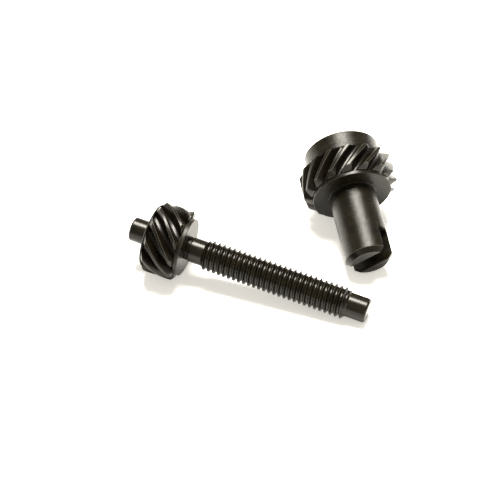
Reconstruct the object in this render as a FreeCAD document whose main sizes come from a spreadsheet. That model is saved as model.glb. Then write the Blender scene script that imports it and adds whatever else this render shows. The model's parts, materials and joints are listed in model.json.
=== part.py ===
"""Worm gear set of a chain tensioner: a threaded adjusting screw with a helical pinion,
and an adjuster stud with the helical gear that drives it.  Both lie loose on a flat surface.

Each item is modelled along its own +Z axis, with z = 0 at one end, and is then laid down.
Both gears are right-hand helical gears whose helix angles add up to 90 degrees, so that their
shafts cross at 90 degrees when they are in mesh.
"""
import FreeCAD, Part
import math
import os

Vector = FreeCAD.Vector
Rotation = FreeCAD.Rotation

doc = FreeCAD.newDocument("worm_gear_set")

# ---------------------------------------------------------------- driving dimensions
# alias, value (mm, degrees or a count), meaning
DRIVING_SIZES = [
    ("normal_module", 0.75, "normal module of both gears"),
    ("normal_pressure_angle", 20, "normal pressure angle, degrees"),
    ("flank_backlash", 0.04, "thinning of every tooth, measured along the pitch circle"),
    ("dedendum_factor", 1.25, "dedendum over the normal module"),
    ("pinion_teeth", 11, "teeth of the screw pinion"),
    ("pinion_helix_angle", 46.5, "right-hand helix angle of the pinion, degrees"),
    ("pinion_face", 6.1, "face width of the pinion's teeth, bevels included"),
    ("pinion_start_length", 0.6, "length of the tooth bevel on the journal side"),
    ("pinion_start_drop", 0.75, "radial drop of the same bevel"),
    ("pinion_end_length", 0.4, "length of the tooth bevel on the thread side"),
    ("pinion_end_drop", 0.45, "radial drop of the same bevel"),
    ("pinion_phase", 16.2, "angle from the thread's reference to a tooth, at mid face, degrees"),
    ("collar_radius", 6.0, "radius of the collar at the pinion's journal side"),
    ("collar_length", 0.35, "length of the collar"),
    ("collar_bevel", 0.15, "bevel of the collar"),
    ("gear_teeth", 16, "teeth of the drive gear"),
    ("gear_helix_angle", 43.5, "right-hand helix angle of the gear, degrees"),
    ("gear_face", 5.95, "face width of the gear, bevels included"),
    ("gear_start_length", 1.1, "length of the tooth bevel beside the head"),
    ("gear_start_drop", 1.9, "radial drop of the same bevel"),
    ("gear_end_length", 0.6, "length of the tooth bevel on the shaft side"),
    ("gear_end_drop", 1.2, "radial drop of the same bevel"),
    ("gear_phase", 1.5, "angle from the slot to a tooth, at mid face, degrees"),
    ("journal_radius", 2.3, "radius of the short journal of the screw"),
    ("journal_length", 3.85, "length of the short journal"),
    ("pinion_seat_radius", 2.7, "radius of the seat under the pinion"),
    ("relief_radius", 2.2, "radius of the relief beside the pinion seat"),
    ("relief_length", 1.65, "length of the relief"),
    ("neck_radius", 2.36, "radius of the neck before the thread"),
    ("neck_end", 14.55, "distance from the journal end to the thread"),
    ("thread_radius", 2.955, "major radius of the M6 x 1 thread"),
    ("thread_root_radius", 2.465, "root radius of the thread"),
    ("thread_pitch", 1.0, "pitch of the thread"),
    ("thread_length", 28.4, "length of the thread, end chamfers included"),
    ("thread_phase", 252, "turn of the thread about the screw, degrees"),
    ("pilot_radius", 2.3, "radius of the plain pilot at the end of the screw"),
    ("pilot_length", 3.8, "length of the pilot"),
    ("small_chamfer", 0.3, "chamfer at the ends of the screw"),
    ("head_radius", 7.15, "radius of the stud head"),
    ("head_length", 3.55, "length of the stud head"),
    ("head_chamfer", 0.35, "chamfer of the stud head"),
    ("gear_seat_radius", 4.7, "radius of the seat under the gear and its washer"),
    ("shaft_radius", 4.45, "radius of the stud shaft"),
    ("stud_length", 25.3, "overall length of the stud"),
    ("shaft_chamfer", 0.9, "chamfer of the shaft end"),
    ("slot_width", 3.2, "width of the driver slot across the shaft end"),
    ("slot_depth", 5.6, "depth of the driver slot"),
    ("screw_washer_radius", 5.5, "radius of the screw thrust washer"),
    ("screw_washer_thickness", 0.8, "thickness of the screw thrust washer"),
    ("gear_washer_radius", 7.55, "radius of the gear thrust washer"),
    ("gear_washer_thickness", 0.75, "thickness of the gear thrust washer"),
    ("washer_bevel", 0.12, "bevel of the washer rims"),
    ("running_gap", 0.05, "clearance of the washers, radially and at their faces"),
    ("screw_x", -12.690, "x of the screw axis at the thread side of the pinion, as laid down"),
    ("screw_y", -6.239, "y of the same point"),
    ("screw_yaw", -21.097, "heading of the screw, degrees"),
    ("screw_roll", 19.4, "turn of the screw about its axis, degrees"),
    ("stud_x", 19.087, "x of the stud axis at the shaft side of the gear, as laid down"),
    ("stud_y", 7.469, "y of the same point"),
    ("stud_yaw", -78.346, "heading of the stud from head to slot, degrees"),
    ("stud_roll", 127, "turn of the stud about its axis, degrees"),
]

sheet = doc.addObject("Spreadsheet::Sheet", "Sizes")
for row, (alias, value, meaning) in enumerate(DRIVING_SIZES, start=1):
    sheet.set("A%d" % row, meaning)
    sheet.set("B%d" % row, str(value))
    sheet.setAlias("B%d" % row, alias)
doc.recompute()


def size(alias):
    """Value of a driving dimension."""
    return float(sheet.get(alias))


# ---------------------------------------------------------------- parametric primitives
def bind(obj, **expressions):
    """Bind properties of an object to spreadsheet expressions."""
    for prop, expression in expressions.items():
        obj.setExpression(prop, expression)
    return obj


def cylinder(name, radius, length, start="0"):
    """Cylinder on the Z axis from z = start."""
    obj = bind(doc.addObject("Part::Cylinder", name), Radius=radius, Height=length)
    obj.setExpression("Placement.Base.z", start)
    return obj


def cone(name, radius_start, radius_end, length, start="0"):
    """Cone frustum on the Z axis from z = start."""
    obj = bind(doc.addObject("Part::Cone", name), Radius1=radius_start, Radius2=radius_end, Height=length)
    obj.setExpression("Placement.Base.z", start)
    return obj


def fuse(name, pieces):
    obj = doc.addObject("Part::MultiFuse", name)
    obj.Shapes = pieces
    obj.Refine = True
    return obj


def cut(name, base, tool):
    obj = doc.addObject("Part::Cut", name)
    obj.Base = base
    obj.Tool = tool
    return obj


def common(name, base, tool):
    obj = doc.addObject("Part::Common", name)
    obj.Base = base
    obj.Tool = tool
    return obj


def label(obj, node):
    obj.Label = node
    return obj


# ---------------------------------------------------------------- gear geometry
# a gear is named by the start of its sizes' aliases: "pinion" or "gear"
def helix_angle(gear):
    return math.radians(size(gear + "_helix_angle"))


def pitch_radius(gear):
    return size(gear + "_teeth") * size("normal_module") / math.cos(helix_angle(gear)) / 2


def tip_radius(gear):
    return pitch_radius(gear) + size("normal_module")


def root_radius(gear):
    return pitch_radius(gear) - size("dedendum_factor") * size("normal_module")


def polar(radius, angle):
    return Vector(radius * math.cos(angle), radius * math.sin(angle), 0)


def arc_about_axis(radius, start_angle, end_angle):
    """Arc in the XY plane, centred on the Z axis."""
    middle = (start_angle + end_angle) / 2
    return Part.Arc(polar(radius, start_angle), polar(radius, middle), polar(radius, end_angle)).toShape()


def tooth_outline(gear):
    """Closed involute outline of a helical gear in its transverse plane, a tooth on +X."""
    teeth = int(size(gear + "_teeth"))
    normal_pressure = math.radians(size("normal_pressure_angle"))
    pressure = math.atan(math.tan(normal_pressure) / math.cos(helix_angle(gear)))
    radius = pitch_radius(gear)
    base = radius * math.cos(pressure)
    tip = tip_radius(gear)
    root = root_radius(gear)
    pitch_angle = 2 * math.pi / teeth
    half_tooth = pitch_angle / 4 - size("flank_backlash") / radius / 2
    flank_points = 6
    foot = max(base, root)

    def half_angle(at_radius):
        """Half the angle of a tooth at a radius on its involute flank."""
        local = math.acos(min(1.0, base / at_radius))
        return half_tooth + (math.tan(pressure) - pressure) - (math.tan(local) - local)

    radii = [foot + (tip - foot) * i / (flank_points - 1) for i in range(flank_points)]
    edges = []
    for tooth in range(teeth):
        centre = tooth * pitch_angle
        rising = Part.BSplineCurve()
        rising.interpolate([polar(r, centre - half_angle(r)) for r in radii])
        falling = Part.BSplineCurve()
        falling.interpolate([polar(r, centre + half_angle(r)) for r in reversed(radii)])
        foot_angle = centre + half_angle(foot)
        next_foot_angle = centre + pitch_angle - half_angle(foot)
        edges.append(rising.toShape())
        edges.append(arc_about_axis(tip, centre - half_angle(tip), centre + half_angle(tip)))
        edges.append(falling.toShape())
        if foot > root:
            edges.append(Part.makeLine(polar(foot, foot_angle), polar(root, foot_angle)))
        edges.append(arc_about_axis(root, foot_angle, next_foot_angle))
        if foot > root:
            edges.append(Part.makeLine(polar(root, next_foot_angle), polar(foot, next_foot_angle)))
    return Part.Wire(Part.__sortEdges__(edges))


def swept_solid(section, lead, length):
    """Right-hand screw sweep of a closed section in the XY plane, from z = 0 to z = length."""
    spine_radius = size("thread_root_radius")
    pipe = Part.BRepOffsetAPI.MakePipeShell(Part.Wire(Part.makeHelix(lead, length, spine_radius)))
    pipe.setFrenetMode(True)
    pipe.add(section, False, False)
    pipe.build()
    pipe.makeSolid()
    return pipe.shape()


def helical_teeth(gear, face):
    """Solid of helical teeth from z = 0 to z = face, a tooth on +X at mid face."""
    lead = 2 * math.pi * pitch_radius(gear) / math.tan(helix_angle(gear))
    solid = swept_solid(tooth_outline(gear), lead, face)
    twist = math.degrees(2 * math.pi * face / lead)
    solid.rotate(Vector(0, 0, 0), Vector(0, 0, 1), -twist / 2)
    return solid


def gear_ring(gear, start, bore_radius):
    """Helical gear ring from a station on, with a bore and with its teeth bevelled at both ends."""
    spare = 0.5
    face = "Sizes.%s_face" % gear
    tip = ("(Sizes.normal_module * (Sizes.%s_teeth / cos(Sizes.%s_helix_angle * 1 deg) / 2 + 1))"
           % (gear, gear))
    start_drop, end_drop = "Sizes.%s_start_drop" % gear, "Sizes.%s_end_drop" % gear
    start_cone = "(Sizes.%s_start_length * (1 + %s / %s))" % (gear, spare, start_drop)
    end_cone = "(Sizes.%s_end_length * (1 + %s / %s))" % (gear, spare, end_drop)
    blank = fuse(gear + "_blank", [
        cone(gear + "_start_cone", "%s - %s" % (tip, start_drop), "%s + %s" % (tip, spare),
             start_cone, start),
        cylinder(gear + "_land", "%s + %s" % (tip, spare), "%s - %s - %s" % (face, start_cone, end_cone),
                 "%s + %s" % (start, start_cone)),
        cone(gear + "_end_cone", "%s + %s" % (tip, spare), "%s - %s" % (tip, end_drop),
             end_cone, "%s + %s - %s" % (start, face, end_cone)),
    ])
    bored = cut(gear + "_ring", blank,
                cylinder(gear + "_bore", bore_radius, "%s + 2" % face, "%s - 1" % start))
    toothed = doc.addObject("Part::Feature", gear + "_teeth_prism")
    doc.recompute()
    box = blank.Shape.BoundBox
    toothed.Shape = helical_teeth(gear, box.ZLength + 2)
    toothed.Placement = FreeCAD.Placement(Vector(0, 0, box.ZMin - 1),
                                          Rotation(Vector(0, 0, 1), size(gear + "_phase")))
    return common(gear + "_solid", toothed, bored)


# ---------------------------------------------------------------- adjusting screw
COLLAR_START = "Sizes.journal_length"
TEETH_START = "Sizes.journal_length + Sizes.collar_length"
PINION_END = TEETH_START + " + Sizes.pinion_face"
THREAD_END = "Sizes.neck_end + Sizes.thread_length"


def thread():
    """Thread: a 60 degree ridge swept round a root cylinder, with both ends chamfered."""
    pitch = size("thread_pitch")
    crest_radius = size("thread_radius")
    foot_radius = size("thread_root_radius") - 0.1
    half_crest = pitch / 16
    half_foot = half_crest + (crest_radius - foot_radius) * math.tan(math.radians(30))
    section = Part.makePolygon([
        Vector(foot_radius, 0, -half_foot),
        Vector(crest_radius, 0, -half_crest),
        Vector(crest_radius, 0, half_crest),
        Vector(foot_radius, 0, half_foot),
        Vector(foot_radius, 0, -half_foot),
    ])
    run_in = 0.6 * pitch
    ridge = doc.addObject("Part::Feature", "thread_ridge")
    ridge.Shape = swept_solid(section, pitch, size("thread_length") - 2 * run_in)
    ridge.Placement = FreeCAD.Placement(Vector(0, 0, size("neck_end") + run_in),
                                        Rotation(Vector(0, 0, 1), size("thread_phase")))
    root = cylinder("thread_root", "Sizes.thread_root_radius", "Sizes.thread_length", "Sizes.neck_end")
    outside = "(Sizes.thread_radius + 0.1)"
    lead_in = "(%s - Sizes.neck_radius)" % outside
    lead_out = "(%s - Sizes.pilot_radius)" % outside
    envelope = fuse("thread_envelope", [
        cone("thread_lead_in", "Sizes.neck_radius", outside, lead_in, "Sizes.neck_end"),
        cylinder("thread_barrel", outside, "Sizes.thread_length - %s - %s" % (lead_in, lead_out),
                 "Sizes.neck_end + %s" % lead_in),
        cone("thread_lead_out", outside, "Sizes.pilot_radius", lead_out, "%s - %s" % (THREAD_END, lead_out)),
    ])
    return common("thread", fuse("thread_blank", [root, ridge]), envelope)


def adjusting_screw():
    """Turned spindle: journal, pinion seat, relief, neck, thread and pilot."""
    chamfer = "Sizes.small_chamfer"
    pieces = [
        cone("journal_tip", "Sizes.journal_radius - %s" % chamfer, "Sizes.journal_radius", chamfer),
        cylinder("journal", "Sizes.journal_radius", "Sizes.journal_length - %s" % chamfer, chamfer),
        cylinder("pinion_seat", "Sizes.pinion_seat_radius", "Sizes.collar_length + Sizes.pinion_face",
                 COLLAR_START),
        cylinder("relief", "Sizes.relief_radius", "Sizes.relief_length", PINION_END),
        cylinder("neck", "Sizes.neck_radius",
                 "Sizes.neck_end - (%s + Sizes.relief_length)" % PINION_END,
                 "%s + Sizes.relief_length" % PINION_END),
        thread(),
        cylinder("pilot", "Sizes.pilot_radius", "Sizes.pilot_length - %s" % chamfer, THREAD_END),
        cone("pilot_tip", "Sizes.pilot_radius", "Sizes.pilot_radius - %s" % chamfer, chamfer,
             "%s + Sizes.pilot_length - %s" % (THREAD_END, chamfer)),
    ]
    return label(fuse("adjusting_screw_solid", pieces), "adjusting_screw")


def screw_pinion():
    """Helical pinion pressed on the seat of the screw, with a plain collar on the journal side."""
    bevel = "Sizes.collar_bevel"
    disc = fuse("collar_disc", [
        cone("collar_rim", "Sizes.collar_radius - %s" % bevel, "Sizes.collar_radius", bevel, COLLAR_START),
        cylinder("collar_land", "Sizes.collar_radius", "Sizes.collar_length - %s" % bevel,
                 "%s + %s" % (COLLAR_START, bevel)),
    ])
    collar = cut("collar_ring", disc, cylinder("collar_bore", "Sizes.pinion_seat_radius",
                                               "Sizes.collar_length", COLLAR_START))
    toothed = gear_ring("pinion", TEETH_START, "Sizes.pinion_seat_radius")
    return label(fuse("screw_pinion_solid", [collar, toothed]), "screw_pinion")


# ---------------------------------------------------------------- thrust washers
def thrust_washer(node, radius, thickness, bore_radius, start):
    """Flat washer with bevelled rims."""
    bevel = "Sizes.washer_bevel"
    disc = fuse(node + "_disc", [
        cone(node + "_rim_start", "%s - %s" % (radius, bevel), radius, bevel, start),
        cylinder(node + "_rim", radius, "%s - 2 * %s" % (thickness, bevel), "%s + %s" % (start, bevel)),
        cone(node + "_rim_end", radius, "%s - %s" % (radius, bevel), bevel,
             "%s + %s - %s" % (start, thickness, bevel)),
    ])
    bore = cylinder(node + "_bore", bore_radius, thickness, start)
    return label(cut(node + "_solid", disc, bore), node)


# ---------------------------------------------------------------- adjuster stud
GEAR_START = "Sizes.head_length"
GEAR_END = "Sizes.head_length + Sizes.gear_face"
SEAT_END = GEAR_END + " + Sizes.gear_washer_thickness + 2 * Sizes.running_gap"


def adjuster_stud():
    """Head and shaft in one piece, with a driver slot across the end of the shaft."""
    body = fuse("turned_stud", [
        cone("head_edge", "Sizes.head_radius - Sizes.head_chamfer", "Sizes.head_radius",
             "Sizes.head_chamfer"),
        cylinder("head", "Sizes.head_radius", "Sizes.head_length - Sizes.head_chamfer",
                 "Sizes.head_chamfer"),
        cylinder("gear_seat", "Sizes.gear_seat_radius", "%s - Sizes.head_length" % SEAT_END, GEAR_START),
        cylinder("shaft", "Sizes.shaft_radius",
                 "Sizes.stud_length - Sizes.shaft_chamfer - (%s)" % SEAT_END, SEAT_END),
        cone("shaft_end", "Sizes.shaft_radius", "Sizes.shaft_radius - Sizes.shaft_chamfer",
             "Sizes.shaft_chamfer", "Sizes.stud_length - Sizes.shaft_chamfer"),
    ])
    slot = bind(doc.addObject("Part::Box", "driver_slot"),
                Length="4 * Sizes.shaft_radius",
                Width="Sizes.slot_width",
                Height="2 * Sizes.slot_depth")
    slot.setExpression("Placement.Base.x", "-2 * Sizes.shaft_radius")
    slot.setExpression("Placement.Base.y", "-Sizes.slot_width / 2")
    slot.setExpression("Placement.Base.z", "Sizes.stud_length - Sizes.slot_depth")
    return label(cut("adjuster_stud_solid", body, slot), "adjuster_stud")


def drive_gear():
    """Helical gear pressed on the seat against the head."""
    return label(gear_ring("gear", GEAR_START, "Sizes.gear_seat_radius"), "drive_gear")


# ---------------------------------------------------------------- laying the items down
def laid_down(name, wide_radius, wide_station, narrow_radius, narrow_station):
    """Placement of an item that rests on a wide rim and on a narrow one, farther along its axis."""
    tilt = math.degrees(math.atan2(wide_radius - narrow_radius, narrow_station - wide_station))
    rotation = (Rotation(Vector(0, 0, 1), size(name + "_yaw"))
                * Rotation(Vector(0, 1, 0), 90 + tilt)
                * Rotation(Vector(0, 0, 1), size(name + "_roll")))
    axis = rotation.multVec(Vector(0, 0, 1))
    rim_centre = Vector(size(name + "_x"), size(name + "_y"), wide_radius * math.cos(math.radians(tilt)))
    return FreeCAD.Placement(rim_centre - axis * wide_station, rotation)


def mesh_points(objects):
    """Points of the objects' surfaces, fine enough to find the box that holds them."""
    points = []
    for obj in objects:
        points.extend(obj.Shape.tessellate(0.02)[0])
    return points


def build():
    """Make every sub-part and lay both items on the plane z = 0, about the origin."""
    screw_parts = [
        adjusting_screw(),
        screw_pinion(),
        thrust_washer("screw_thrust_washer", "Sizes.screw_washer_radius", "Sizes.screw_washer_thickness",
                      "(Sizes.relief_radius + Sizes.running_gap)", "(%s + Sizes.running_gap)" % PINION_END),
    ]
    stud_parts = [
        adjuster_stud(),
        drive_gear(),
        thrust_washer("gear_thrust_washer", "Sizes.gear_washer_radius", "Sizes.gear_washer_thickness",
                      "(Sizes.gear_seat_radius + Sizes.running_gap)", "(%s + Sizes.running_gap)" % GEAR_END),
    ]
    doc.recompute()
    pinion_end = size("journal_length") + size("collar_length") + size("pinion_face")
    pinion_land_end = pinion_end - size("pinion_end_length")
    thread_rest = size("neck_end") + size("thread_length") - size("thread_radius") + size("thread_root_radius")
    gear_land_end = size("head_length") + size("gear_face") - size("gear_end_length")
    shaft_rest = size("stud_length") - size("shaft_chamfer")
    screw_place = laid_down("screw", tip_radius("pinion"), pinion_land_end,
                            size("thread_radius"), thread_rest)
    stud_place = laid_down("stud", tip_radius("gear"), gear_land_end,
                           size("shaft_radius"), shaft_rest)
    for parts, place in ((screw_parts, screw_place), (stud_parts, stud_place)):
        for obj in parts:
            obj.Placement = place
    doc.recompute()
    for parts in (screw_parts, stud_parts):
        lowest = min(point.z for point in mesh_points(parts))
        for obj in parts:
            obj.Placement = FreeCAD.Placement(Vector(0, 0, -lowest), Rotation()) * obj.Placement
    doc.recompute()
    points = mesh_points(screw_parts + stud_parts)
    middle = Vector((min(p.x for p in points) + max(p.x for p in points)) / 2,
                    (min(p.y for p in points) + max(p.y for p in points)) / 2, 0)
    for obj in screw_parts + stud_parts:
        obj.Placement = FreeCAD.Placement(-middle, Rotation()) * obj.Placement
    doc.recompute()
    return screw_parts + stud_parts


def check_document(parts):
    """Stop if an object failed or a sub-part isn't one valid solid."""
    for obj in doc.Objects:
        if "Invalid" in obj.State or "Error" in obj.State:
            raise RuntimeError("%s failed: %s" % (obj.Name, obj.State))
    for obj in parts:
        shape = obj.Shape
        if shape.isNull() or not shape.isValid() or len(shape.Solids) != 1:
            raise RuntimeError("%s isn't one valid solid" % obj.Label)


parts = build()
check_document(parts)
os.makedirs("parts", exist_ok=True)
for part in parts:
    part.Shape.exportStep("parts/%s.step" % part.Label)
    print("%-20s %8.1f mm3" % (part.Label, part.Shape.Volume))
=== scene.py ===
"""Looks of the worm gear set: two loose blackened-steel items lying on a pale surface.

Lengths named here are in millimetres and are turned into metres where meshes are made.
Each item has its own frame: local +Z runs along its axis from its journal or head end.
"""
import json
import math

import bmesh
import bpy
from mathutils import Matrix, Vector


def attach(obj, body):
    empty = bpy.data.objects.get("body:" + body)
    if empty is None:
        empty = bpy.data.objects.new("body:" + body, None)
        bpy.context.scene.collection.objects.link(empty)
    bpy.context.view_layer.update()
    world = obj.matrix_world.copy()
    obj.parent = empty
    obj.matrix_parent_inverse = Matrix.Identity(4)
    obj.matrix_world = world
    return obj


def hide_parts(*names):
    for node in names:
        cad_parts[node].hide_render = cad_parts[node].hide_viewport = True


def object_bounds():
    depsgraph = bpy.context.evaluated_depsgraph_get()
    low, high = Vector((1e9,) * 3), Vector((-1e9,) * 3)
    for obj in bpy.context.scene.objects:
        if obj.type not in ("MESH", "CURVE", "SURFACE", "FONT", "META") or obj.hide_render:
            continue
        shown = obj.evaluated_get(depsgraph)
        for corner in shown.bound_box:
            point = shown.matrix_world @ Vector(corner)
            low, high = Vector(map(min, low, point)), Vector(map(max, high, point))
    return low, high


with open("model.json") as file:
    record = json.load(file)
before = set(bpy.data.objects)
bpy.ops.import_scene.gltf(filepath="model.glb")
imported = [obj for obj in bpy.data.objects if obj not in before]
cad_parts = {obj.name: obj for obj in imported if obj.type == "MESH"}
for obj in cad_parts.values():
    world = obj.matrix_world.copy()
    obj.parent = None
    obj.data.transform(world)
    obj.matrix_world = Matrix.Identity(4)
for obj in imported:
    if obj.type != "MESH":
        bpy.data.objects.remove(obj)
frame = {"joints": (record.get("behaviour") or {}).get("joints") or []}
cad_low, cad_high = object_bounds()
MM = 0.001
TAU = 2 * math.pi

# ---------------------------------------------------------------- sizes, as in the CAD model
MODULE = 0.75
PRESSURE = math.radians(20)
BACKLASH = 0.04
PINION = {"teeth": 11, "helix": math.radians(46.5), "start": 4.2, "face": 6.1, "bore": 2.7,
          "turn": math.radians(16.2), "start_bevel": (0.6, 0.75), "end_bevel": (0.4, 0.45),
          "collar": (0.35, 6.0)}
GEAR = {"teeth": 16, "helix": math.radians(43.5), "start": 3.55, "face": 5.95, "bore": 4.7,
        "turn": math.radians(1.5), "start_bevel": (1.1, 1.9), "end_bevel": (0.6, 1.2)}
JOURNAL_RADIUS = 2.3
SEAT_RADIUS = 2.7
RELIEF_RADIUS = 2.2
RELIEF_END = 11.95
NECK_RADIUS = 2.36
NECK_END = 14.55
THREAD_RADIUS = 2.955
THREAD_ROOT = 2.465
THREAD_PITCH = 1.0
THREAD_END = 42.95
THREAD_START_SPARE = 0.1
PILOT_RADIUS = 2.3
SCREW_LENGTH = 46.75
SMALL_CHAMFER = 0.3
HEAD_RADIUS = 7.15
HEAD_CHAMFER = 0.35
HEAD_LENGTH = 3.55
GEAR_SEAT_RADIUS = 4.7
GEAR_SEAT_END = 10.35
SHAFT_RADIUS = 4.45
STUD_LENGTH = 25.3
SHAFT_CHAMFER = 0.9
SLOT_WIDTH = 3.2
SLOT_DEPTH = 5.6
SCREW_WASHER = {"bore": 2.25, "outside": 5.5, "start": 10.35, "thickness": 0.8}
GEAR_WASHER = {"bore": 4.75, "outside": 7.55, "start": 9.55, "thickness": 0.75}
SCREW_JOINT_STATION = 10.9
STUD_JOINT_STATION = 9.9
SCREW_ROLL = math.radians(19.4)
STUD_ROLL = math.radians(127)


def item_frame(joint_name, station, roll):
    """Matrix from an item's own millimetres to the row frame's metres."""
    joint = next(j for j in frame["joints"] if j["name"] == joint_name)
    axis = Vector(joint["axis"]).normalized()
    down = Vector((0, 0, -1))
    across = (down - axis * down.dot(axis)).normalized()
    side = axis.cross(across)
    turned = across * math.cos(roll) + side * math.sin(roll)
    turned_side = axis.cross(turned)
    origin = Vector(joint["pos_m"]) - axis * station * MM
    rows = Matrix((turned * MM, turned_side * MM, axis * MM)).transposed()
    return Matrix.Translation(origin) @ rows.to_4x4()


SCREW_FRAME = item_frame("screw_spin", SCREW_JOINT_STATION, SCREW_ROLL)
STUD_FRAME = item_frame("adjuster_spin", STUD_JOINT_STATION, STUD_ROLL)


# ---------------------------------------------------------------- mesh helpers
def make_piece(name, points, faces, place, body, node, wear=None, smooth_angle=32):
    """Mesh object from points in an item's millimetres, keeping them as the attribute item_place."""
    mesh = bpy.data.meshes.new(name)
    mesh.from_pydata([place @ Vector(p) for p in points], [], faces)
    places = mesh.attributes.new("item_place", "FLOAT_VECTOR", "POINT")
    places.data.foreach_set("vector", [c for p in points for c in p])
    # Edge value per point: paints edges and crests lighter, partly real rubbing and partly a painted
    # highlight.
    edge = mesh.attributes.new("edge_wear", "FLOAT", "POINT")
    edge.data.foreach_set("value", wear or [0.0] * len(points))
    work = bmesh.new()
    work.from_mesh(mesh)
    bmesh.ops.remove_doubles(work, verts=work.verts, dist=2e-7)
    bmesh.ops.dissolve_degenerate(work, edges=work.edges, dist=1e-7)
    bmesh.ops.recalc_face_normals(work, faces=work.faces)
    work.to_mesh(mesh)
    work.free()
    mesh.shade_smooth()
    mesh.set_sharp_from_angle(angle=math.radians(smooth_angle))
    piece = bpy.data.objects.new(name, mesh)
    bpy.context.scene.collection.objects.link(piece)
    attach(piece, body)
    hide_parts(node)
    return piece


def ring_faces(ring_count, columns, first=0):
    """Quads between neighbouring rings of points, each ring closed on itself."""
    faces = []
    for ring in range(ring_count - 1):
        for column in range(columns):
            following = (column + 1) % columns
            a = first + ring * columns
            b = a + columns
            faces.append((a + column, a + following, b + following, b + column))
    return faces


def ring(radius, station, columns):
    """Points of a circle about the axis."""
    return [(radius * math.cos(TAU * c / columns), radius * math.sin(TAU * c / columns), station)
            for c in range(columns)]


def rounded_profile(corners, steps=4):
    """Polyline through (station, radius, corner radius) with each corner turned on an arc."""
    out = []
    for i, (z, r, fillet) in enumerate(corners):
        here = Vector((z, r))
        if fillet <= 0 or i in (0, len(corners) - 1):
            out.append((z, r))
            continue
        to_last = (Vector(corners[i - 1][:2]) - here)
        to_next = (Vector(corners[i + 1][:2]) - here)
        half = to_last.angle(to_next) / 2
        reach = min(fillet / math.tan(half), 0.45 * to_last.length, 0.45 * to_next.length)
        start = here + to_last.normalized() * reach
        end = here + to_next.normalized() * reach
        for s in range(steps + 1):
            t = s / steps
            point = start * (1 - t) ** 2 + here * 2 * t * (1 - t) + end * t ** 2
            out.append((point.x, point.y))
    return with_close_rings(out)


def with_close_rings(profile, reach=0.2):
    """The profile with a point close to both ends of every long stretch, where the edge rubbing and painted
    highlight stop.

    None is added beside the axis, where its ring's faces would be slivers.
    """
    out = [profile[0]]
    for before, after in zip(profile, profile[1:]):
        a, b = Vector(before), Vector(after)
        if (b - a).length > 3 * reach:
            step = (b - a).normalized() * reach
            out += [tuple(p) for p in (a + step, b - step) if p.y > 2 * reach]
        out.append(after)
    return out


def convex_wear(corners, profile, reach=0.16):
    """Edge value of each profile point, partly rubbing and partly painted highlight: 1 at an outside corner,
    falling to 0 within the reach.
    """
    outside = []
    for i in range(1, len(corners) - 1):
        before = Vector(corners[i][:2]) - Vector(corners[i - 1][:2])
        after = Vector(corners[i + 1][:2]) - Vector(corners[i][:2])
        if before.x * after.y - before.y * after.x < -1e-9 and corners[i][2] > 0.06:
            outside.append(Vector(corners[i][:2]))
    wear = []
    for z, r in profile:
        gap = min([(Vector((z, r)) - corner).length for corner in outside] + [reach])
        wear.append(1 - gap / reach)
    return wear


# ---------------------------------------------------------------- adjusting screw
def thread_stations():
    """One pitch of the thread as (share of the pitch, radius, edge value), starting at the crest's centre;
    the edge value paints the crest lighter, partly as rubbing and partly as a painted highlight.
    """
    crest_half = 1 / 16
    flank = (THREAD_RADIUS - THREAD_ROOT) * math.tan(math.radians(30)) / THREAD_PITCH
    foot = crest_half + flank
    depth = THREAD_RADIUS - THREAD_ROOT
    side = [
        (0.0, 0.0, 1.0),
        (crest_half * 0.6, 0.01, 1.0),
        (crest_half, 0.05, 0.9),
        (crest_half + flank * 0.16, 0.17, 0.35),
        (crest_half + flank * 0.5, 0.5, 0.0),
        (foot - flank * 0.16, 0.84, 0.0),
        (foot, 0.95, 0.0),
        (foot + (0.5 - foot) * 0.4, 0.995, 0.0),
    ]
    ahead = [(share, THREAD_RADIUS - depth * drop, wear) for share, drop, wear in side]
    bottom = [(0.5, THREAD_ROOT, 0.0)]
    behind = [(1 - share, radius, wear) for share, radius, wear in reversed(ahead[1:])]
    return ahead + bottom + behind


def thread_envelope(station):
    """Largest radius at a station: the chamfers at both ends of the thread."""
    return min(NECK_RADIUS + (station - NECK_END), PILOT_RADIUS + (THREAD_END - station), THREAD_RADIUS)


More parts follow.
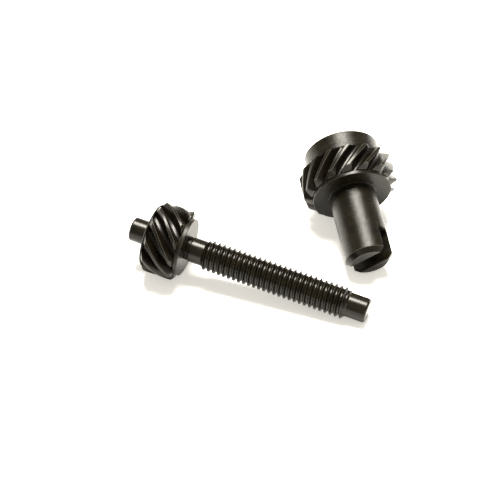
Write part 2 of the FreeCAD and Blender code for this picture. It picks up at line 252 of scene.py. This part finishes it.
def adjusting_screw():
    """Spindle: turned profiles on both sides of the thread, whose rings of points climb one pitch a turn."""
    columns = 96
    seat_start = PINION["start"] - PINION["collar"][0]
    head_corners = [
        (0, 0, 0), (0, JOURNAL_RADIUS - SMALL_CHAMFER, 0.1), (SMALL_CHAMFER, JOURNAL_RADIUS, 0.15),
        (seat_start, JOURNAL_RADIUS, 0), (seat_start, SEAT_RADIUS, 0),
        (PINION["start"] + PINION["face"], SEAT_RADIUS, 0),
        (PINION["start"] + PINION["face"], RELIEF_RADIUS, 0.05),
        (RELIEF_END, RELIEF_RADIUS, 0.1), (RELIEF_END + 0.12, NECK_RADIUS, 0.06),
        (NECK_END, NECK_RADIUS, 0),
    ]
    tail_corners = [
        (THREAD_END, PILOT_RADIUS, 0), (SCREW_LENGTH - SMALL_CHAMFER, PILOT_RADIUS, 0.15),
        (SCREW_LENGTH, PILOT_RADIUS - SMALL_CHAMFER, 0.1), (SCREW_LENGTH, 0, 0),
    ]
    head = rounded_profile(head_corners)
    tail = rounded_profile(tail_corners)
    points, wear = [], []
    for (z, r), w in zip(head, convex_wear(head_corners, head)):
        points += ring(max(r, 1e-4), z, columns)
        wear += [w] * columns
    stations = thread_stations()
    turns = int((THREAD_END - NECK_END) / THREAD_PITCH) + 2
    for turn in range(-2, turns):
        for share, radius, point_wear_and_highlight in stations:
            for c in range(columns):
                angle = TAU * c / columns
                z = NECK_END - THREAD_START_SPARE + THREAD_PITCH * (turn + share + c / columns)
                z = min(max(z, NECK_END), THREAD_END)
                limit = thread_envelope(z)
                r = min(radius, limit)
                points.append((r * math.cos(angle), r * math.sin(angle), z))
                # Chamfered thread ends get a flat share of edge rubbing and painted highlight.
                wear.append(point_wear_and_highlight if radius < limit + 0.02 else 0.4)
    for (z, r), w in zip(tail, convex_wear(tail_corners, tail)):
        points += ring(max(r, 1e-4), z, columns)
        wear += [w] * columns
    faces = ring_faces(len(points) // columns, columns)
    return make_piece("adjusting_screw_body", points, faces, SCREW_FRAME, "screw",
                      "adjusting_screw", wear)


# ---------------------------------------------------------------- gears
def tooth_side(spec):
    """Half a tooth as (half angle, radius, edge value), from mid tip to mid gap, with the tip and pitch
    radii; the edge value is partly rubbing and partly a painted highlight on the tip land's edges.
    """
    teeth, helix = spec["teeth"], spec["helix"]
    helix_pressure = math.atan(math.tan(PRESSURE) / math.cos(helix))
    pitch_r = teeth * MODULE / math.cos(helix) / 2
    base = pitch_r * math.cos(helix_pressure)
    tip = pitch_r + MODULE
    root = pitch_r - 1.25 * MODULE
    half_tooth = TAU / teeth / 4 - BACKLASH / pitch_r / 2
    foot = max(base, root)

    def half_angle(radius):
        local = math.acos(min(1.0, base / radius))
        return half_tooth + (math.tan(helix_pressure) - helix_pressure) - (math.tan(local) - local)

    edge = 0.07
    tip_angle = half_angle(tip)
    # The tip land and its rounded edges are painted lighter: partly rubbing and partly a painted highlight.
    side = [(0.0, tip, 0.15), (tip_angle * 0.55, tip, 0.2)]
    for t, point_wear_and_highlight in ((0.0, 0.7), (0.35, 1.0), (0.7, 1.0), (1.0, 0.6)):
        angle_on_land = tip_angle - edge / tip * (1 - t)
        radius = tip - edge * t * t
        side.append((min(angle_on_land, half_angle(radius)), radius, point_wear_and_highlight))
    flank_steps = 7
    low = foot + 0.12
    for s in range(1, flank_steps + 1):
        radius = (tip - edge) + (low - tip + edge) * s / flank_steps
        side.append((half_angle(radius), radius, 0.0))
    gap_middle = TAU / teeth / 2
    foot_angle = half_angle(foot)
    side.append((foot_angle + 0.012, root + (low - root) * 0.35, 0.0))
    side.append((foot_angle + (gap_middle - foot_angle) * 0.35, root + 0.02, 0.0))
    side.append((foot_angle + (gap_middle - foot_angle) * 0.7, root, 0.0))
    return side, tip, pitch_r


def gear_outline(spec):
    """Whole outline as (angle, radius, edge value), and the tip and pitch radii; the edge value is partly
    rubbing and partly a painted highlight.
    """
    side, tip, pitch_r = tooth_side(spec)
    outline = []
    for tooth in range(spec["teeth"]):
        centre = TAU * tooth / spec["teeth"]
        outline += [(centre - angle, radius, point_wear_and_highlight) for angle, radius, point_wear_and_highlight in reversed(side)]
        outline += [(centre + angle, radius, point_wear_and_highlight) for angle, radius, point_wear_and_highlight in side[1:]]
    return outline, tip, pitch_r


def bevel_limit(station, spec, tip):
    """Largest radius of the gear at a station, and how far the station is from the nearest bevel's brow."""
    start, end = spec["start"], spec["start"] + spec["face"]
    first_length, first_drop = spec["start_bevel"]
    last_length, last_drop = spec["end_bevel"]
    first = tip - first_drop * (1 - (station - start) / first_length)
    last = tip - last_drop * (1 - (end - station) / last_length)
    brow = min(abs(station - start - first_length), abs(end - last_length - station))
    return min(first, last, tip), brow


def gear_mesh(name, spec, place, body, node):
    """Toothed ring: the outline turned along its helix, bevelled at both ends, with its bore and collar."""
    outline, tip, pitch_r = gear_outline(spec)
    columns = len(outline)
    lead = TAU * pitch_r / math.tan(spec["helix"])
    near = 0.04
    inside = 0.05
    start, end = spec["start"], spec["start"] + spec["face"]
    middle = (start + end) / 2
    first_length, last_length = spec["start_bevel"][0], spec["end_bevel"][0]
    inner = 22
    stations = [start, start + near]
    stations += [start + first_length * s / 4 for s in (1, 2, 3)]
    brow_a, brow_b = start + first_length, end - last_length
    stations += [brow_a - near, brow_a, brow_a + inside]
    stations += [brow_a + inside + (brow_b - brow_a - 2 * inside) * s / inner for s in range(1, inner)]
    stations += [brow_b - inside, brow_b, brow_b + near]
    stations += [end - last_length * s / 3 for s in (2, 1)]
    stations += [end - near, end]
    stations = sorted(set(round(s, 4) for s in stations))
    points, wear = [], []

    def add_ring(station, radius_of, twisted=True):
        turn = spec["turn"] + (TAU * (station - middle) / lead if twisted else 0.0)
        for angle, radius, point_wear_and_highlight in outline:
            r, w = radius_of(station, radius, point_wear_and_highlight)
            points.append((r * math.cos(angle + turn), r * math.sin(angle + turn), station))
            wear.append(w)

    def toothed(station, radius, point_wear_and_highlight):
        limit, brow = bevel_limit(station, spec, tip)
        at_end = station in (stations[0], stations[-1])
        # Bevel brows, end rims and bevel facets are painted lighter: partly rubbing and partly a painted
        # highlight.
        edge = max(0.0, 1 - brow / 0.12) * (1.0 if radius > tip - 0.1 else 0.0)
        rim = 0.8 if at_end and radius > limit else 0.0
        return min(radius, limit), max(point_wear_and_highlight if radius <= limit + 1e-6 else 0.35, edge, rim)

    collar_length, collar_radius = spec.get("collar", (0.0, 0.0))
    add_ring(start - collar_length, lambda s, r, w: (spec["bore"], 0.0), twisted=False)
    if collar_length:
        # The collar's rims get a little edge rubbing and painted highlight.
        add_ring(start - collar_length, lambda s, r, w: (collar_radius - 0.2, 0.1))
        add_ring(start - collar_length + 0.12, lambda s, r, w: (collar_radius - 0.05, 0.3))
        add_ring(start - collar_length + 0.2, lambda s, r, w: (collar_radius, 0.3))
        add_ring(start - 0.03, lambda s, r, w: (collar_radius, 0.2))
        add_ring(start, lambda s, r, w: (collar_radius - 0.03, 0.1))
    for station in stations:
        add_ring(station, toothed)
    add_ring(end, lambda s, r, w: (spec["bore"], 0.0), twisted=False)
    faces = ring_faces(len(points) // columns, columns)
    last = len(points) - columns
    for column in range(columns):
        following = (column + 1) % columns
        faces.append((last + column, last + following, following, column))
    return make_piece(name, points, faces, place, body, node, wear, smooth_angle=38)


# ---------------------------------------------------------------- washers
def washer(name, spec, place, node):
    """Flat ring with rounded rims."""
    columns = 128
    start, end = spec["start"], spec["start"] + spec["thickness"]
    inside, outside = spec["bore"], spec["outside"]
    corners = [(start, inside, 0), (start, outside, 0.12), (end, outside, 0.1), (end, inside, 0.05)]
    profile = rounded_profile(corners, steps=5)
    face = []
    for z, r in profile:
        face += ring(r, z, columns)
    wear = [w for value in convex_wear(corners, profile, 0.2) for w in [value] * columns]
    rings = len(face) // columns
    faces = ring_faces(rings, columns)
    last = (rings - 1) * columns
    for column in range(columns):
        following = (column + 1) % columns
        faces.append((last + column, last + following, following, column))
    return make_piece(name, face, faces, place, "washers", node, wear)


# ---------------------------------------------------------------- adjuster stud
def adjuster_stud():
    """Head, gear seat and shaft turned in one piece, with the driver slot cut across the shaft's end."""
    columns = 160
    corners = [
        (0, 0, 0), (0, HEAD_RADIUS - HEAD_CHAMFER, 0.1), (HEAD_CHAMFER, HEAD_RADIUS, 0.18),
        (HEAD_LENGTH, HEAD_RADIUS, 0), (HEAD_LENGTH, GEAR_SEAT_RADIUS, 0),
        (GEAR_SEAT_END, GEAR_SEAT_RADIUS, 0.05), (GEAR_SEAT_END, SHAFT_RADIUS, 0.05),
        (STUD_LENGTH - SHAFT_CHAMFER, SHAFT_RADIUS, 0.12),
        (STUD_LENGTH, SHAFT_RADIUS - SHAFT_CHAMFER, 0.08), (STUD_LENGTH, 0, 0),
    ]
    profile = rounded_profile(corners)
    points, wear = [], []
    for (z, r), w in zip(profile, convex_wear(corners, profile, 0.2)):
        points += ring(max(r, 1e-4), z, columns)
        wear += [w] * columns
    faces = ring_faces(len(points) // columns, columns)
    piece = make_piece("adjuster_stud_body", points, faces, STUD_FRAME, "adjuster",
                       "adjuster_stud", wear)
    cutter_mesh = bpy.data.meshes.new("slot_cutter")
    half = SLOT_WIDTH / 2
    floor, above, reach = STUD_LENGTH - SLOT_DEPTH, STUD_LENGTH + 3, 2 * SHAFT_RADIUS
    corners = [(x, y, z) for z in (floor, above) for x, y in
               ((-reach, -half), (reach, -half), (reach, half), (-reach, half))]
    sides = [(3, 2, 1, 0), (4, 5, 6, 7), (0, 1, 5, 4), (1, 2, 6, 5), (2, 3, 7, 6), (3, 0, 4, 7)]
    cutter_mesh.from_pydata([STUD_FRAME @ Vector(c) for c in corners], [], sides)
    places = cutter_mesh.attributes.new("item_place", "FLOAT_VECTOR", "POINT")
    places.data.foreach_set("vector", [c for p in corners for c in p])
    cutter = bpy.data.objects.new("slot_cutter", cutter_mesh)
    bpy.context.scene.collection.objects.link(cutter)
    slot = piece.modifiers.new("slot", "BOOLEAN")
    slot.operation = "DIFFERENCE"
    slot.solver = "EXACT"
    slot.object = cutter
    bevel = piece.modifiers.new("slot_edges", "BEVEL")
    bevel.width = 0.09 * MM
    bevel.segments = 2
    bevel.limit_method = "ANGLE"
    bevel.angle_limit = math.radians(50)
    bpy.context.view_layer.update()
    settled = bpy.data.meshes.new_from_object(
        piece.evaluated_get(bpy.context.evaluated_depsgraph_get()), preserve_all_data_layers=True,
        depsgraph=bpy.context.evaluated_depsgraph_get())
    piece.modifiers.clear()
    inverse = STUD_FRAME.inverted()
    settled.attributes["item_place"].data.foreach_set(
        "vector", [c for v in settled.vertices for c in inverse @ v.co])
    piece.data = settled
    settled.shade_smooth()
    settled.set_sharp_from_angle(angle=math.radians(32))
    bpy.data.objects.remove(cutter)
    return piece


# ---------------------------------------------------------------- materials
BLACK = (0.0022, 0.0018, 0.0012)
OLIVE = (0.009, 0.0072, 0.0036)
BROWN = (0.006, 0.0042, 0.0025)
# Colour of bare edges and crests: partly real rubbing and partly a painted highlight.
WORN_AND_HIGHLIGHT = (0.27, 0.25, 0.20)


class Nodes:
    """Short names for making and linking shader nodes."""

    def __init__(self, name):
        self.material = bpy.data.materials.new(name)
        self.material.use_nodes = True
        self.tree = self.material.node_tree
        self.shader = self.tree.nodes["Principled BSDF"]

    def add(self, kind, inputs=None, **settings):
        node = self.tree.nodes.new(kind)
        for key, value in settings.items():
            setattr(node, key, value)
        for key, value in (inputs or {}).items():
            socket = node.inputs[key]
            if isinstance(value, bpy.types.NodeSocket):
                self.tree.links.new(value, socket)
            else:
                socket.default_value = value
        return node

    def math(self, operation, a, b=0.0, clamp=False):
        return self.add("ShaderNodeMath", {0: a, 1: b}, operation=operation, use_clamp=clamp).outputs[0]

    def noise(self, vector, scale, detail=3.0, roughness=0.55, distortion=0.0):
        return self.add("ShaderNodeTexNoise", {"Vector": vector, "Scale": scale, "Detail": detail,
                                               "Roughness": roughness, "Distortion": distortion})

    def ramp(self, factor, stops):
        node = self.add("ShaderNodeValToRGB", {"Fac": factor})
        elements = node.color_ramp.elements
        while len(elements) < len(stops):
            elements.new(0.5)
        for element, (position, level) in zip(elements, stops):
            element.position = position
            element.color = (level, level, level, 1)
        return node.outputs["Color"]

    def mix(self, factor, a, b):
        node = self.add("ShaderNodeMix", data_type="RGBA")
        for index, value in ((0, factor), (6, a), (7, b)):
            if isinstance(value, bpy.types.NodeSocket):
                self.tree.links.new(value, node.inputs[index])
            else:
                node.inputs[index].default_value = value if index == 0 else (*value, 1)
        return node.outputs[2]

    def shade(self, key, value):
        socket = self.shader.inputs[key]
        if isinstance(value, bpy.types.NodeSocket):
            self.tree.links.new(value, socket)
        else:
            socket.default_value = value


def blackened_steel(name, tint, roughness, marks, mark_depth, wear):
    """Black oxide over machined steel: patchy colour, turning marks round the axis, and lighter, more
    metallic edges, partly from rubbing and partly a painted highlight.

    roughness is its lowest and highest value, marks is how many turning marks there are to a length,
    mark_depth is in millimetres, and the last argument is how much of the edge attribute (rubbing and
    painted highlight) shows.
    """
    n = Nodes(name)
    place = n.add("ShaderNodeAttribute", attribute_name="item_place").outputs["Vector"]
    edge = n.add("ShaderNodeAttribute", attribute_name="edge_wear").outputs["Fac"]
    parts = n.add("ShaderNodeSeparateXYZ", {0: place})
    x, y, z = parts.outputs
    radius = n.math("SQRT", n.math("ADD", n.math("MULTIPLY", x, x), n.math("MULTIPLY", y, y)))
    wobble = n.math("MULTIPLY", n.noise(place, 0.5, 1.0).outputs["Fac"], 0.12)
    along = n.math("ADD", n.math("ADD", z, radius), wobble)
    squeezed_x = n.math("MULTIPLY", x, 0.05)
    squeezed_y = n.math("MULTIPLY", y, 0.05)
    stretched = n.add("ShaderNodeCombineXYZ", {0: squeezed_x, 1: squeezed_y, 2: along}).outputs[0]
    turning = n.noise(stretched, marks, 4.0, 0.7).outputs["Fac"]
    patches = n.noise(place, 0.55, 4.0, 0.6, 0.4).outputs["Fac"]
    specks = n.noise(place, 9.0, 3.0, 0.6).outputs["Fac"]
    oxide = n.mix(n.ramp(patches, [(0.38, 0.0), (0.66, 1.0)]), BLACK, tint)
    oxide = n.mix(n.ramp(turning, [(0.35, 0.0), (0.75, 0.55)]), oxide, tint)
    # Lighter, more metallic edges from the edge attribute: partly real rubbing and partly a painted
    # highlight on edges and crests.
    rubbed_and_highlight = n.math("MULTIPLY", edge, n.math("ADD", n.math("MULTIPLY", specks, 1.1), 0.15), clamp=True)
    rubbed_and_highlight = n.ramp(n.math("MULTIPLY", rubbed_and_highlight, wear, clamp=True), [(0.12, 0.0), (0.8, 1.0)])
    n.shade("Base Color", n.mix(rubbed_and_highlight, oxide, WORN_AND_HIGHLIGHT))
    n.shade("Metallic", n.math("MULTIPLY", rubbed_and_highlight, 0.8))
    n.shade("IOR", 1.3)
    smoothest, roughest = roughness
    n.shade("Roughness", n.math("ADD", n.math("MULTIPLY", turning, roughest - smoothest), smoothest))
    height = n.math("ADD", turning, n.math("MULTIPLY", specks, 0.35))
    bump = n.add("ShaderNodeBump", {"Height": height, "Strength": 1.0, "Distance": mark_depth * MM})
    n.shade("Normal", bump.outputs[0])
    return n.material


def dress(piece, tint, **finish):
    """Give a piece a blackened steel of its own."""
    piece.data.materials.clear()
    piece.data.materials.append(blackened_steel(piece.name + "_steel", tint, **finish))


# ---------------------------------------------------------------- pieces
screw = adjusting_screw()
pinion = gear_mesh("screw_pinion_teeth", PINION, SCREW_FRAME, "screw", "screw_pinion")
screw_washer = washer("screw_washer_disc", SCREW_WASHER, SCREW_FRAME, "screw_thrust_washer")
stud = adjuster_stud()
gear = gear_mesh("drive_gear_teeth", GEAR, STUD_FRAME, "adjuster", "drive_gear")
gear_washer = washer("gear_washer_disc", GEAR_WASHER, STUD_FRAME, "gear_thrust_washer")

dress(screw, OLIVE, roughness=(0.14, 0.34), marks=9.0, mark_depth=0.012, wear=0.12)
dress(pinion, BROWN, roughness=(0.18, 0.36), marks=7.0, mark_depth=0.008, wear=0.42)
dress(screw_washer, OLIVE, roughness=(0.26, 0.46), marks=8.0, mark_depth=0.006, wear=0.35)
dress(stud, OLIVE, roughness=(0.15, 0.34), marks=6.0, mark_depth=0.045, wear=0.35)
dress(gear, BROWN, roughness=(0.18, 0.36), marks=7.0, mark_depth=0.008, wear=0.45)
dress(gear_washer, OLIVE, roughness=(0.22, 0.38), marks=8.0, mark_depth=0.006, wear=0.25)


# ---------------------------------------------------------------- floor, light and camera
def pale_floor():
    """Matt white sheet that glows a little, so that the shadows on it stay faint."""
    reach = 3.0
    mesh = bpy.data.meshes.new("floor")
    mesh.from_pydata([(-reach, -reach, 0), (reach, -reach, 0), (reach, reach, 0), (-reach, reach, 0)],
                     [], [(0, 1, 2, 3)])
    floor = bpy.data.objects.new("floor", mesh)
    bpy.context.scene.collection.objects.link(floor)
    n = Nodes("pale floor")
    n.shade("Base Color", (0.95, 0.95, 0.95, 1))
    n.shade("Roughness", 0.9)
    n.shade("Specular IOR Level", 0.0)
    n.shade("Emission Color", (1.0, 0.97, 0.9, 1))
    n.shade("Emission Strength", 0.5)
    floor.data.materials.append(n.material)
    return floor


def softbox(name, elevation, azimuth, distance, size, power, colour=(1, 1, 1)):
    """Square area light that looks at the object from an azimuth (0 is the camera's side) and elevation."""
    light = bpy.data.lights.new(name, "AREA")
    light.size = size
    light.energy = power
    light.color = colour
    lamp = bpy.data.objects.new(name, light)
    bpy.context.scene.collection.objects.link(lamp)
    high, round_ = math.radians(elevation), math.radians(azimuth)
    away = Vector((math.sin(round_) * math.cos(high), -math.cos(round_) * math.cos(high), math.sin(high)))
    lamp.location = VIEW_TARGET + away * distance
    lamp.rotation_euler = away.to_track_quat("Z", "Y").to_euler()
    return lamp


centre = (cad_low + cad_high) / 2
VIEW_OFFSET = Vector((-2.629, 1.647, 0)) * MM
VIEW_TARGET = Vector((centre.x, centre.y, 0)) + VIEW_OFFSET
VIEW_ELEVATION = math.radians(41.855)
VIEW_DISTANCE = 0.381
VIEW_LENS = 144.6

camera_data = bpy.data.cameras.new("camera")
camera_data.lens = VIEW_LENS
camera_data.sensor_width = 36
camera_data.clip_start = 0.01
camera = bpy.data.objects.new("camera", camera_data)
bpy.context.scene.collection.objects.link(camera)
towards_camera = Vector((0, -math.cos(VIEW_ELEVATION), math.sin(VIEW_ELEVATION)))
camera.location = VIEW_TARGET + towards_camera * VIEW_DISTANCE
camera.rotation_euler = towards_camera.to_track_quat("Z", "Y").to_euler()
bpy.context.scene.camera = camera

pale_floor()
softbox("overhead", 77, 180, 0.6, 0.24, 11.0, (1.0, 0.95, 0.85))
world = bpy.data.worlds.new("studio")
world.use_nodes = True
world.node_tree.nodes["Background"].inputs["Color"].default_value = (1.0, 0.95, 0.84, 1)
world.node_tree.nodes["Background"].inputs["Strength"].default_value = 0.5
bpy.context.scene.world = world
bpy.context.scene.view_settings.view_transform = "Standard"
